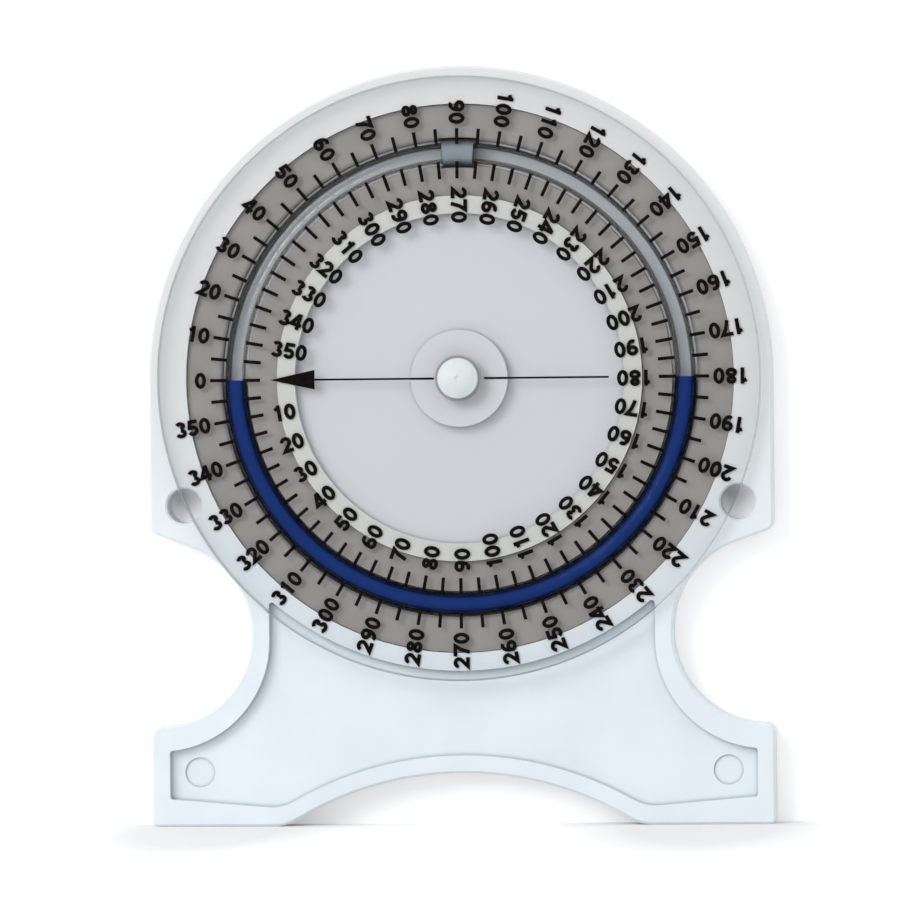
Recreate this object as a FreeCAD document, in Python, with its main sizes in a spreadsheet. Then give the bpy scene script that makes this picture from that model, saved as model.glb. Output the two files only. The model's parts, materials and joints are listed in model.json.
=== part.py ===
import FreeCAD, Part
import math
import os
import Sketcher

# Bubble inclinometer. Millimetres, +Z up, front towards -Y.
# The origin is under the dial's centre on the plane of the feet, at half the depth.
# Each body is drawn about the dial axis with local y = 0 on the flat back, so a depth
# of d behind the front of a piece is local y = -d.

SIZES = [
    # stand: one moulded plate
    ("base_radius", 50.9, "round top, and half the width over the ears"),
    ("centre_height", 72.8, "dial axis above the soles of the feet"),
    ("base_thickness", 7.0, "back to front lands"),
    ("rim_width", 2.9, "wall left round each recess"),
    ("recess_depth", 2.0, "leg recess and centre well, from the front"),
    ("recess_round", 0.5, "corners of the leg recess"),
    ("round_share", 0.45, "most of a short side that the rounding of its corner takes"),
    ("corner_round", 1.7, "ear corners and tops of the feet"),
    ("sole_round", 0.9, "outer corners of the soles"),
    ("edge_bevel", 0.4, "front and back edges of the outline"),
    ("finger_radius", 15.1, "finger cut-out"),
    ("finger_inset", 1.4, "finger cut-out centre inside the stand's side"),
    ("finger_drop", 41.3, "finger cut-out centre below the dial axis"),
    ("finger_run", 8.0, "how far the cutter runs out past the side"),
    ("ear_slope", 20.0, "degrees that the ear's underside falls inwards"),
    ("arch_radius", 53.0, "arch between the feet"),
    ("arch_rise", 8.5, "arch crown above the soles"),
    ("arch_blend", 7.3, "rounding from arch to sole, and of the recess above it"),
    ("toe_rise", 1.6, "recess floor line higher at the outer end of a foot"),
    ("waist_drop", 1.2, "recess arc centre below the finger cut-out centre"),
    ("boss_radius", 7.9, "hub boss in the centre well"),
    ("boss_lift", 0.2, "hub boss above the lands"),
    ("ear_hole_radius", 2.85, "through hole in each ear"),
    ("ear_hole_inset", 5.7, "ear hole inside the stand's side"),
    ("ear_hole_drop", 20.4, "ear hole below the dial axis"),
    ("ear_hole_lip", 0.3, "bevel at the mouths of the ear holes"),
    ("foot_mark_radius", 2.45, "shallow round mark in each foot"),
    ("foot_mark_depth", 0.35, "depth of that mark"),
    ("foot_mark_inset", 7.7, "mark inside the stand's side"),
    ("foot_mark_height", 8.8, "mark above the soles"),
    # tube, its grey backing ring and the fluid
    ("trough_inset", 6.2, "trough's outer wall inside the stand's round top"),
    ("trough_width", 14.9, "trough from wall to wall"),
    ("ring_fit", 0.1, "backing ring clear of the trough walls"),
    ("ring_step", 1.0, "backing ring below the front lands"),
    ("ring_floor", 0.75, "backing ring under the tube's channel"),
    ("seat_fit", 0.05, "channel clear of the tube or sleeve, all round"),
    ("tube_inset", 7.95, "tube's centre line inside the trough's outer wall"),
    ("tube_radius", 2.05, "outside of the tube"),
    ("tube_flats", 12, "flats that stand for the round outside of the tube"),
    ("bore_radius", 1.25, "bore of the tube"),
    ("bore_flats", 8, "flats that stand for the round bore"),
    ("tube_cover", 0.4, "tube below the front lands"),
    ("butt_gap", 0.3, "gap between the tube's two ends"),
    ("sleeve_wall", 0.35, "joint sleeve"),
    ("sleeve_length", 5.0, "joint sleeve along the ring"),
    ("sleeve_play", 0.4, "notch in the ring past each end of the sleeve"),
    ("fluid_fit", 0.08, "fluid solid inside the bore"),
    ("fluid_sweep", 180.0, "degrees of the ring that the fluid fills"),
    # dial
    ("dial_inset", 1.7, "clear dial's rim inside the stand's round top"),
    ("dial_thickness", 2.2, "clear dial"),
    ("dial_float", 0.1, "end play of the dial on each side"),
    ("dial_bevel", 0.35, "rim bevel, front and back"),
    ("pivot_fit", 0.05, "running fit on the shank"),
    ("ink_depth", 0.05, "printing on the back of the dial"),
    ("mark_count", 72, "marks round each scale"),
    ("mark_width", 0.55, "one mark"),
    ("inner_mark_gap", 1.45, "inner marks inside the tube's centre line"),
    ("inner_mark_length", 2.8, "inner mark"),
    ("outer_mark_gap", 1.35, "outer marks outside the tube's centre line"),
    ("outer_mark_length", 2.6, "outer mark"),
    ("arrow_gap", 5.85, "arrow point inside the tube's centre line"),
    ("arrow_length", 7.3, "arrow head"),
    ("arrow_half", 1.6, "half the arrow head's height"),
    ("line_width", 0.32, "reference line"),
    ("line_short", 6.5, "reference line's plain end nearer the axis than the arrow point"),
    ("line_clear", 0.35, "line stops short of the head washer"),
    # pivot and what holds it
    ("shank_radius", 1.6, "rivet shank"),
    ("shank_lead", 0.4, "taper at the rivet's tail"),
    ("head_radius", 3.3, "rivet head"),
    ("head_edge", 0.5, "straight side of the head"),
    ("head_height", 1.6, "rivet head at the crown"),
    ("dimple_radius", 0.45, "dimple in the crown"),
    ("dimple_depth", 0.25, "dimple in the crown"),
    ("head_washer_radius", 3.75, "washer under the head"),
    ("head_washer_thickness", 0.35, "washer under the head"),
    ("washer_fit", 0.1, "washers over the shank"),
    ("counterbore_radius", 5.6, "pocket in the back round the rivet's tail"),
    ("counterbore_depth", 2.7, "pocket in the back"),
    ("rear_washer_radius", 4.8, "flat washer in the counterbore"),
    ("rear_washer_thickness", 0.5, "flat washer in the counterbore"),
    ("spring_radius", 4.3, "bowed spring washer"),
    ("spring_thickness", 0.3, "bowed spring washer"),
    ("spring_bow", 0.4, "height of its bow"),
    ("nut_radius", 4.3, "push nut"),
    ("nut_thickness", 0.4, "push nut"),
    ("nut_slots", 6, "slots between the push nut's teeth"),
    ("nut_slot_width", 0.5, "one slot"),
    ("nut_slot_reach", 1.1, "slot beyond the shank"),
    ("tail_length", 0.4, "rivet's tail past the push nut"),
]

# Depths and radii worked out from the sizes.
DIAL_BACK = "(Sizes.base_thickness + Sizes.boss_lift + Sizes.dial_float)"
DIAL_FRONT = f"({DIAL_BACK} + Sizes.dial_thickness)"
HEAD_WASHER_BACK = f"({DIAL_FRONT} + Sizes.dial_float)"
HEAD_BACK = f"({HEAD_WASHER_BACK} + Sizes.head_washer_thickness)"
FULL_DEPTH = f"({HEAD_BACK} + Sizes.head_height)"
TROUGH_OUTER = "(Sizes.base_radius - Sizes.trough_inset)"
TROUGH_INNER = f"({TROUGH_OUTER} - Sizes.trough_width)"
TUBE_PITCH = f"({TROUGH_OUTER} - Sizes.tube_inset)"
TUBE_DEPTH = "(Sizes.base_thickness - Sizes.tube_cover - Sizes.tube_radius)"
CHANNEL_FLOOR = f"({TUBE_DEPTH} - Sizes.tube_radius - Sizes.seat_fit)"
RING_FRONT = "(Sizes.base_thickness - Sizes.ring_step)"
RING_BACK = f"({CHANNEL_FLOOR} - Sizes.ring_floor)"
TROUGH_DEPTH = f"(Sizes.base_thickness - {RING_BACK})"
SLEEVE_RADIUS = "(Sizes.tube_radius + Sizes.sleeve_wall)"
SLEEVE_ANGLE = f"(Sizes.sleeve_length / {TUBE_PITCH} * 180 / pi)"
REAR_WASHER_BACK = "(Sizes.counterbore_depth - Sizes.rear_washer_thickness)"
SPRING_BACK = f"({REAR_WASHER_BACK} - Sizes.spring_bow - Sizes.spring_thickness)"
NUT_BACK = f"({SPRING_BACK} - Sizes.nut_thickness)"
TAIL = f"({NUT_BACK} - Sizes.tail_length)"
PLATFORM_RADIUS = f"({TROUGH_OUTER} + Sizes.rim_width)"
DIAL_RADIUS = "(Sizes.base_radius - Sizes.dial_inset)"
INNER_MARK_END = f"({TUBE_PITCH} - Sizes.inner_mark_gap)"
OUTER_MARK_START = f"({TUBE_PITCH} + Sizes.outer_mark_gap)"
ARROW_TIP = f"({TUBE_PITCH} - Sizes.arrow_gap)"
ARCH_DROP = "(Sizes.centre_height - Sizes.arch_rise + Sizes.arch_radius)"
FINGER_SIDE = "(Sizes.base_radius - Sizes.finger_inset)"
WAIST_DROP = "(Sizes.finger_drop + Sizes.waist_drop)"
WAIST_REACH = "(Sizes.finger_radius + Sizes.rim_width)"
TOE_DROP = "(Sizes.centre_height - Sizes.rim_width - Sizes.toe_rise)"
CORNER_DROP = f"({WAIST_DROP} + sqrt({WAIST_REACH} ^ 2 - (Sizes.rim_width - Sizes.finger_inset) ^ 2))"
RECESS_ROUND = f"min(Sizes.recess_round; Sizes.round_share * ({TOE_DROP} - {CORNER_DROP}))"

ORIGIN = (-1, 1)
NEAR = 1e-4
BOUND = ("Length", "Angle")

doc = FreeCAD.newDocument("inclinometer")
sheet = doc.addObject("Spreadsheet::Sheet", "Sizes")
for row, (alias, number, note) in enumerate(SIZES, start=1):
    sheet.set(f"A{row}", note)
    sheet.set(f"B{row}", str(number))
    sheet.setAlias(f"B{row}", alias)
doc.recompute()

parts = []


def value(expression):
    """The number that an expression gives with the sheet's present sizes."""
    return float(sheet.evalExpression(expression))


def at(x, y):
    return FreeCAD.Vector(x, y, 0)


def placeOnAxis(thing, turn=0):
    """Puts a part on the dial axis, with its local y = 0 on the stand's back."""
    thing.Placement = FreeCAD.Placement(
        FreeCAD.Vector(0, 0, 0), FreeCAD.Rotation(FreeCAD.Vector(0, 1, 0), turn)
    )
    thing.setExpression("Placement.Base.y", f"{FULL_DEPTH} / 2")
    thing.setExpression("Placement.Base.z", "Sizes.centre_height")


def newBody(label, turn=0):
    body = doc.addObject("PartDesign::Body", label)
    body.Label = label
    body.AllowCompound = True
    placeOnAxis(body, turn)
    parts.append(body)
    return body


def originPlane(body, role):
    return next(f for f in body.Origin.OriginFeatures if f.Role == role)


def newSketch(body, name, role="XZ_Plane", depth=None):
    """A sketch on an origin plane, moved forward by the expression depth if it is given."""
    sketch = body.newObject("Sketcher::SketchObject", name)
    sketch.AttachmentSupport = (originPlane(body, role), [""])
    sketch.MapMode = "FlatFace"
    if depth:
        sketch.setExpression("AttachmentOffset.Base.z", depth)
    return sketch


def bind(sketch, kind, refs, expression):
    """A dimension whose value follows an expression."""
    index = sketch.addConstraint(Sketcher.Constraint(kind, *refs, value(expression)))
    sketch.setExpression(f"Constraints[{index}]", expression)


def circle(sketch, radius, x=None, y=None, below=False, guide=False):
    """A circle of a bound radius at the origin, or at a bound distance right and up or down.
    A guide circle only holds other lines in place."""
    px = value(x) if x else 0.0
    py = (value(y) if y else 0.0) * (-1 if below else 1)
    shape = Part.Circle(at(px, py), FreeCAD.Vector(0, 0, 1), value(radius))
    geo = sketch.addGeometry(shape, guide)
    if x or y:
        centre = (geo, 3)
        bind(sketch, "DistanceX", ORIGIN + centre, x)
        bind(sketch, "DistanceY", (centre + ORIGIN) if below else (ORIGIN + centre), y)
    else:
        sketch.addConstraint(Sketcher.Constraint("Coincident", geo, 3, *ORIGIN))
    bind(sketch, "Radius", (geo,), radius)
    return geo


def polygon(sketch, points):
    """A closed run of lines, joined corner to corner."""
    count = len(points)
    first = sketch.GeometryCount
    for i, start in enumerate(points):
        sketch.addGeometry(Part.LineSegment(start, points[(i + 1) % count]))
    for i in range(count):
        here, following = first + i, first + (i + 1) % count
        sketch.addConstraint(Sketcher.Constraint("Coincident", here, 2, following, 1))
    return first


def level(sketch, *lines):
    for line in lines:
        sketch.addConstraint(Sketcher.Constraint("Horizontal", line))


def upright(sketch, *lines):
    for line in lines:
        sketch.addConstraint(Sketcher.Constraint("Vertical", line))


def arc(centre, radius, start, end):
    """An arc about a centre from the angle of one point to the angle of another."""
    a0 = math.atan2(start.y - centre.y, start.x - centre.x)
    a1 = math.atan2(end.y - centre.y, end.x - centre.x)
    ring = Part.Circle(centre, FreeCAD.Vector(0, 0, 1), radius)
    return Part.ArcOfCircle(ring, a0, a1 if a1 > a0 else a1 + 2 * math.pi)


def feature(body, kind, name, profile=None, **settings):
    """Adds a feature, binds its length or angle to an expression and tests that it did its work."""
    before = body.Shape.Volume if body.Tip else 0.0
    new = body.newObject(f"PartDesign::{kind}", name)
    if profile:
        new.Profile = profile
    for key, setting in settings.items():
        if key in BOUND:
            new.setExpression(key, setting)
        else:
            setattr(new, key, setting)
    body.Tip = new
    doc.recompute()
    after = body.Shape.Volume
    if kind in ("Pocket", "Groove") and not after < before - NEAR:
        raise RuntimeError(f"{name} removed nothing from {body.Label}")
    if kind in ("Pad", "Revolution") and not after > before + NEAR:
        raise RuntimeError(f"{name} added nothing to {body.Label}")
    return new


def localShape(body):
    """The body's shape in its own frame, before its placement."""
    return body.Tip.Shape


def uprightEdges(body, wanted, front=None):
    """Straight edges that run front to back where wanted(x, z) is true. With front given, only
    those that end there."""
    found = []
    for i, edge in enumerate(localShape(body).Edges, start=1):
        a, b = edge.Vertexes[0].Point, edge.Vertexes[-1].Point
        parallel = isinstance(edge.Curve, Part.Line) and abs(a.x - b.x) < NEAR and abs(a.z - b.z) < NEAR
        ends = front is None or abs(max(a.y, b.y) - front) < NEAR
        if parallel and ends and wanted(a.x, a.z):
            found.append(f"Edge{i}")
    return found


def dressEdges(body, name, edges, size, kind="Fillet", key="Radius"):
    """Rounds or bevels edges. The size may be an expression."""
    base = body.Tip
    dressed = body.newObject(f"PartDesign::{kind}", name)
    dressed.Base = (base, edges)
    dressed.setExpression(key, size)
    body.Tip = dressed
    doc.recompute()
    return dressed


def outlineEdges(body, y):
    """Edges round the outside of the largest flat face at a depth."""
    shape = localShape(body)
    flats = [
        f for f in shape.Faces
        if isinstance(f.Surface, Part.Plane)
        and abs(f.BoundBox.YMin - y) < NEAR and abs(f.BoundBox.YMax - y) < NEAR
    ]
    outer = max(flats, key=lambda f: f.OuterWire.BoundBox.DiagonalLength).OuterWire
    return [
        f"Edge{i}" for i, e in enumerate(shape.Edges, start=1)
        if any(e.isSame(w) for w in outer.Edges)
    ]


def ringEdges(body, radius):
    """Circular edges of a radius."""
    return [
        f"Edge{i}" for i, e in enumerate(localShape(body).Edges, start=1)
        if isinstance(e.Curve, Part.Circle) and abs(e.Curve.Radius - radius) < NEAR
    ]


def rectangle(x0, x1, y0, y1):
    """Corners of an upright rectangle, for polygon."""
    return [at(x0, y0), at(x1, y0), at(x1, y1), at(x0, y1)]


def bar(sketch, fromX, toX, width):
    """A rectangle along the sketch's level axis, from one bound distance, or the middle, to another."""
    half = value(width) / 2
    first = polygon(sketch, rectangle(value(fromX) if fromX else 0.0, value(toX), -half, half))
    level(sketch, first, first + 2)
    upright(sketch, first + 3)
    sketch.addConstraint(Sketcher.Constraint("Symmetric", first + 1, 1, first + 1, 2, -1))
    if fromX:
        bind(sketch, "DistanceX", ORIGIN + (first, 1), fromX)
    else:
        sketch.addConstraint(Sketcher.Constraint("PointOnObject", first, 1, -2))
    bind(sketch, "DistanceX", ORIGIN + (first + 1, 1), toX)
    bind(sketch, "DistanceY", (first + 1, 1, first + 1, 2), width)


def steppedProfile(body, name, corners, radii, depths):
    """A closed profile beside the dial axis whose sides are level or upright. Each corner is a
    pair of indices into the expressions radii and depths; a radius of None is the axis."""
    sketch = newSketch(body, f"{name}Profile", "XY_Plane")
    points = [at(value(radii[r]) if radii[r] else 0.0, -value(depths[d])) for r, d in corners]
    first = polygon(sketch, points)
    seenRadii, seenDepths = set(), set()
    count = len(corners)
    for i, (r, d) in enumerate(corners):
        nextR, nextD = corners[(i + 1) % count]
        line = first + i
        if nextR == r:
            upright(sketch, line)
        if nextD == d:
            level(sketch, line)
        if r not in seenRadii:
            if radii[r]:
                bind(sketch, "DistanceX", ORIGIN + (line, 1), radii[r])
            else:
                sketch.addConstraint(Sketcher.Constraint("PointOnObject", line, 1, -2))
            seenRadii.add(r)
        if d not in seenDepths:
            bind(sketch, "DistanceY", (line, 1) + ORIGIN, depths[d])
            seenDepths.add(d)
    return sketch


def turned(body, kind, name, sketch, angle="360"):
    """Revolves a profile about the dial axis, half of the angle to each side."""
    axis = (sketch, ["V_Axis"])
    return feature(body, kind, name, sketch, ReferenceAxis=axis, Angle=angle, Midplane=True)


# --- stand -------------------------------------------------------------------------------


def fingerCutter(body):
    """Half-round finger cut-out on the right: an arc, a sloping ear underside and a level foot top."""
    sketch = newSketch(body, "FingerCutter")
    radius = value("Sizes.finger_radius")
    centre = at(value(FINGER_SIDE), -value("Sizes.finger_drop"))
    slope = math.radians(value("Sizes.ear_slope"))
    outside = value("Sizes.base_radius") + value("Sizes.finger_run")
    high = centre + at(-radius * math.sin(slope), radius * math.cos(slope))
    low = centre + at(0, -radius)
    farHigh = at(outside, high.y + (outside - high.x) * math.tan(slope))
    farLow = at(outside, low.y)
    waist = sketch.addGeometry(arc(centre, radius, high, low))
    under = sketch.addGeometry(Part.LineSegment(farHigh, high))
    top = sketch.addGeometry(Part.LineSegment(low, farLow))
    side = sketch.addGeometry(Part.LineSegment(farLow, farHigh))
    bind(sketch, "DistanceX", ORIGIN + (waist, 3), FINGER_SIDE)
    bind(sketch, "DistanceY", (waist, 3) + ORIGIN, "Sizes.finger_drop")
    bind(sketch, "Radius", (waist,), "Sizes.finger_radius")
    sketch.addConstraint(Sketcher.Constraint("Tangent", waist, 1, under, 2))
    sketch.addConstraint(Sketcher.Constraint("Tangent", waist, 2, top, 1))
    sketch.addConstraint(Sketcher.Constraint("Coincident", top, 2, side, 1))
    sketch.addConstraint(Sketcher.Constraint("Coincident", side, 2, under, 1))
    level(sketch, top)
    upright(sketch, side)
    bind(sketch, "DistanceX", ORIGIN + (side, 1), "Sizes.base_radius + Sizes.finger_run")
    index = sketch.addConstraint(Sketcher.Constraint("Angle", -1, 1, under, 2, slope))
    sketch.setExpression(f"Constraints[{index}]", "Sizes.ear_slope")
    return sketch


def legRecessHalf(body):
    """Right half of the leg recess. Its boundary keeps a rim inside the stand's outline and
    ends on a circle round the tube trough."""
    sketch = newSketch(body, "LegRecess", depth="Sizes.base_thickness")
    platform = value(PLATFORM_RADIUS)
    side = value("Sizes.base_radius - Sizes.rim_width")
    reach = value(WAIST_REACH)
    pivot = at(value(FINGER_SIDE), -value(WAIST_DROP))
    arch = at(0, -value(ARCH_DROP))
    archReach = value("Sizes.arch_radius + Sizes.rim_width")
    toeInner = -value("Sizes.centre_height - Sizes.rim_width")
    waist = at(pivot.x - reach, pivot.y)
    corner = at(side, -value(CORNER_DROP))
    toeOut = at(side, -value(TOE_DROP))
    toeIn = at(math.sqrt(archReach**2 - (toeInner - arch.y) ** 2), toeInner)
    crown = at(0, arch.y + archReach)
    top = at(0, -platform)
    shoulder = at(waist.x, -math.sqrt(platform**2 - waist.x**2))
    origin = at(0, 0)
    lines = [
        arc(origin, platform, top, shoulder),
        Part.LineSegment(shoulder, waist),
        arc(pivot, reach, waist, corner),
        Part.LineSegment(corner, toeOut),
        Part.LineSegment(toeOut, toeIn),
        arc(arch, archReach, toeIn, crown),
        Part.LineSegment(crown, top),
    ]
    land, neck, finger, edge, toe, under, middle = [sketch.addGeometry(g) for g in lines]
    joins = [(land, 2, neck, 1), (finger, 2, edge, 1), (edge, 2, toe, 1), (toe, 2, under, 1),
             (under, 2, middle, 1), (middle, 2, land, 1)]
    for join in joins:
        sketch.addConstraint(Sketcher.Constraint("Coincident", *join))
    sketch.addConstraint(Sketcher.Constraint("Tangent", neck, 2, finger, 1))
    sketch.addConstraint(Sketcher.Constraint("Coincident", land, 3, *ORIGIN))
    sketch.addConstraint(Sketcher.Constraint("PointOnObject", under, 3, -2))
    sketch.addConstraint(Sketcher.Constraint("PointOnObject", middle, 1, -2))
    upright(sketch, neck, edge, middle)
    bind(sketch, "Radius", (land,), PLATFORM_RADIUS)
    bind(sketch, "Radius", (finger,), WAIST_REACH)
    bind(sketch, "Radius", (under,), "Sizes.arch_radius + Sizes.rim_width")
    bind(sketch, "DistanceX", ORIGIN + (finger, 3), FINGER_SIDE)
    bind(sketch, "DistanceY", (finger, 3) + ORIGIN, WAIST_DROP)
    bind(sketch, "DistanceY", (under, 3) + ORIGIN, ARCH_DROP)
    bind(sketch, "DistanceX", ORIGIN + (edge, 1), "Sizes.base_radius - Sizes.rim_width")
    bind(sketch, "DistanceY", (toe, 1) + ORIGIN, TOE_DROP)
    bind(sketch, "DistanceY", (toe, 2) + ORIGIN, "Sizes.centre_height - Sizes.rim_width")
    return sketch


def annulus(body, name, inner, outer, depth=None):
    sketch = newSketch(body, name, depth=depth)
    circle(sketch, inner)
    circle(sketch, outer)
    return sketch


def twoCircles(body, name, radius, x, y, depth=None):
    """A circle on each side of the middle, both the same height below the axis."""
    sketch = newSketch(body, name, depth=depth)
    right = circle(sketch, radius, x, y, below=True)
    mirrored = Part.Circle(at(-value(x), -value(y)), FreeCAD.Vector(0, 0, 1), value(radius))
    left = sketch.addGeometry(mirrored)
    sketch.addConstraint(Sketcher.Constraint("Equal", right, left))
    sketch.addConstraint(Sketcher.Constraint("Symmetric", right, 3, left, 3, -2))
    return sketch


def mirrorAcrossMiddle(body, name, original):
    before = body.Shape.Volume
    mirror = body.newObject("PartDesign::Mirrored", name)
    mirror.Originals = [original]
    mirror.MirrorPlane = (originPlane(body, "YZ_Plane"), [""])
    body.Tip = mirror
    doc.recompute()
    if not body.Shape.Volume < before - NEAR:
        raise RuntimeError(f"{name} did not mirror")
    return mirror


def roundPlateOnLegs(body):
    """A disc on a block as wide as the disc, down to the soles."""
    disc = newSketch(body, "RoundTop")
    circle(disc, "Sizes.base_radius")
    feature(body, "Pad", "RoundPlate", disc, Length="Sizes.base_thickness")

    skirt = newSketch(body, "Skirt")
    half, drop = value("Sizes.base_radius"), value("Sizes.centre_height")
    first = polygon(skirt, rectangle(-half, half, -drop, 0.0))
    level(skirt, first, first + 2)
    upright(skirt, first + 1, first + 3)
    bind(skirt, "DistanceX", ORIGIN + (first + 1, 2), "Sizes.base_radius")
    skirt.addConstraint(Sketcher.Constraint("Symmetric", first + 2, 1, first + 2, 2, *ORIGIN))
    bind(skirt, "DistanceY", (first, 1) + ORIGIN, "Sizes.centre_height")
    feature(body, "Pad", "LegPlate", skirt, Length="Sizes.base_thickness")


def fingerAndArchCuts(body):
    finger = feature(body, "Pocket", "FingerCut", fingerCutter(body), Type="ThroughAll", Midplane=True)
    mirrorAcrossMiddle(body, "FingerCutLeft", finger)

    arch = newSketch(body, "Arch")
    centre = at(0, -value(ARCH_DROP))
    ring = arch.addGeometry(Part.Circle(centre, FreeCAD.Vector(0, 0, 1), value("Sizes.arch_radius")))
    arch.addConstraint(Sketcher.Constraint("PointOnObject", ring, 3, -2))
    bind(arch, "DistanceY", (ring, 3) + ORIGIN, ARCH_DROP)
    bind(arch, "Radius", (ring,), "Sizes.arch_radius")
    feature(body, "Pocket", "ArchCut", arch, Type="ThroughAll", Midplane=True)


def roundOutline(body):
    """Outline corners, seen from the front: soles, then ears and foot tops, then the arch's ends."""
    half, drop = value("Sizes.base_radius"), value("Sizes.centre_height")

    def onSide(x):
        return abs(abs(x) - half) < NEAR

    def onSole(z):
        return abs(z + drop) < NEAR

    soles = uprightEdges(body, lambda x, z: onSide(x) and onSole(z))
    dressEdges(body, "SoleCorners", soles, "Sizes.sole_round")
    soleTop = -drop + value("Sizes.sole_round")
    corners = uprightEdges(body, lambda x, z: onSide(x) and soleTop + NEAR < z < -NEAR)
    dressEdges(body, "EarAndFootCorners", corners, "Sizes.corner_round")
    flat = half - value("Sizes.sole_round")
    insteps = uprightEdges(body, lambda x, z: onSole(z) and abs(x) < flat - NEAR)
    dressEdges(body, "ArchBlends", insteps, "Sizes.arch_blend")


def legRecess(body):
    recess = feature(body, "Pocket", "LegRecessCut", legRecessHalf(body), Length="Sizes.recess_depth")
    mirrorAcrossMiddle(body, "LegRecessCutLeft", recess)
    floor = -value("Sizes.base_thickness - Sizes.recess_depth")
    waistX, waistZ = value(f"{FINGER_SIDE} - {WAIST_REACH}"), -value(WAIST_DROP)
    toeInner = -value("Sizes.centre_height - Sizes.rim_width")

    def instep(x, z):
        return abs(z - toeInner) < NEAR

    def sharp(x, z):
        tangent = abs(abs(x) - waistX) < NEAR and abs(z - waistZ) < NEAR
        return abs(x) > NEAR and not tangent and not instep(x, z)

    dressEdges(body, "RecessCorners", uprightEdges(body, sharp, floor), RECESS_ROUND)
    dressEdges(body, "RecessInsteps", uprightEdges(body, instep, floor), "Sizes.arch_blend")


def wellTroughAndBoss(body):
    front = "Sizes.base_thickness"
    well = annulus(body, "CentreWell", "Sizes.boss_radius", f"{TROUGH_INNER} - Sizes.rim_width", front)
    feature(body, "Pocket", "CentreWellCut", well, Length="Sizes.recess_depth")
    trough = annulus(body, "Trough", TROUGH_INNER, TROUGH_OUTER, front)
    feature(body, "Pocket", "TroughCut", trough, Length=TROUGH_DEPTH)
    boss = newSketch(body, "Boss", depth=front)
    circle(boss, "Sizes.boss_radius")
    feature(body, "Pad", "BossPad", boss, Length="Sizes.boss_lift")


def holesAndMarks(body):
    bore = newSketch(body, "PivotBore")
    circle(bore, "Sizes.shank_radius + Sizes.pivot_fit")
    feature(body, "Pocket", "PivotBoreCut", bore, Type="ThroughAll", Midplane=True)
    counterbore = newSketch(body, "Counterbore")
    circle(counterbore, "Sizes.counterbore_radius")
    feature(body, "Pocket", "CounterboreCut", counterbore, Length="Sizes.counterbore_depth", Reversed=True)

    earSide = "Sizes.base_radius - Sizes.ear_hole_inset"
    ears = twoCircles(body, "EarHoles", "Sizes.ear_hole_radius", earSide, "Sizes.ear_hole_drop")
    feature(body, "Pocket", "EarHoleCut", ears, Type="ThroughAll", Midplane=True)
    mouths = ringEdges(body, value("Sizes.ear_hole_radius"))
    dressEdges(body, "EarHoleBevels", mouths, "Sizes.ear_hole_lip", "Chamfer", "Size")

    markSide = "Sizes.base_radius - Sizes.foot_mark_inset"
    markDrop = "Sizes.centre_height - Sizes.foot_mark_height"
    floor = "Sizes.base_thickness - Sizes.recess_depth"
    marks = twoCircles(body, "FootMarks", "Sizes.foot_mark_radius", markSide, markDrop, floor)
    feature(body, "Pocket", "FootMarkCut", marks, Length="Sizes.foot_mark_depth")


def makeBasePlate():
    body = newBody("base_plate")
    roundPlateOnLegs(body)
    fingerAndArchCuts(body)
    roundOutline(body)
    legRecess(body)
    wellTroughAndBoss(body)
    holesAndMarks(body)
    front = -value("Sizes.base_thickness")
    dressEdges(body, "FrontEdge", outlineEdges(body, front), "Sizes.edge_bevel", "Chamfer", "Size")
    dressEdges(body, "BackEdge", outlineEdges(body, 0.0), "Sizes.edge_bevel", "Chamfer", "Size")


# --- tube, backing ring and fluid ----------------------------------------------------------


def flatSided(sketch, radius, sides, x, y):
    """A regular polygon with its corners on a guide circle, one of them level with the centre."""
    guide = circle(sketch, radius, x, y, below=True, guide=True)
    middle, reach, step = at(value(x), -value(y)), value(radius), 2 * math.pi / sides
    turns = [step * i for i in range(sides)]
    first = polygon(sketch, [middle + at(reach * math.cos(a), reach * math.sin(a)) for a in turns])
    for line in range(first, first + sides):
        sketch.addConstraint(Sketcher.Constraint("PointOnObject", line, 1, guide))
    for line in range(first + 1, first + sides):
        sketch.addConstraint(Sketcher.Constraint("Equal", first, line))
    sketch.addConstraint(Sketcher.Constraint("Horizontal", guide, 3, first, 1))


def tubeSection(body, name, loops):
    """Polygons about the tube's centre line: pairs of a radius and a number of flats."""
    sketch = newSketch(body, name, "XY_Plane")
    for radius, flats in loops:
        flatSided(sketch, radius, round(value(flats)), TUBE_PITCH, TUBE_DEPTH)
    return sketch


def channelSides(radius):
    """Inner and outer wall of a channel that takes a tube of this radius."""
    return [f"{TUBE_PITCH} - {radius} - Sizes.seat_fit", f"{TUBE_PITCH} + {radius} + Sizes.seat_fit"]


def makeBackingRing():
    """A ring that fills the trough, with a square channel for the tube and a wider, deeper
    stretch of it for the sleeve."""
    body = newBody("tube_backing_ring", turn=-90)
    inner, outer = f"{TROUGH_INNER} + Sizes.ring_fit", f"{TROUGH_OUTER} - Sizes.ring_fit"
    near, far = channelSides("Sizes.tube_radius")
    corners = [(0, 0), (1, 0), (1, 1), (2, 1), (2, 2), (3, 2), (3, 3), (0, 3)]
    depths = [RING_BACK, RING_FRONT, CHANNEL_FLOOR, RING_FRONT]
    section = steppedProfile(body, "Ring", corners, [inner, outer, far, near], depths)
    turned(body, "Revolution", "Ring", section)
    notch = steppedProfile(
        body, "SleeveSeat", [(0, 0), (1, 0), (1, 1), (0, 1)], channelSides(SLEEVE_RADIUS),
        [f"{TUBE_DEPTH} - {SLEEVE_RADIUS} - Sizes.seat_fit", RING_FRONT],
    )
    play = f"2 * Sizes.sleeve_play / {TUBE_PITCH} * 180 / pi"
    turned(body, "Groove", "SleeveSeatCut", notch, f"{SLEEVE_ANGLE} + {play}")


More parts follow.
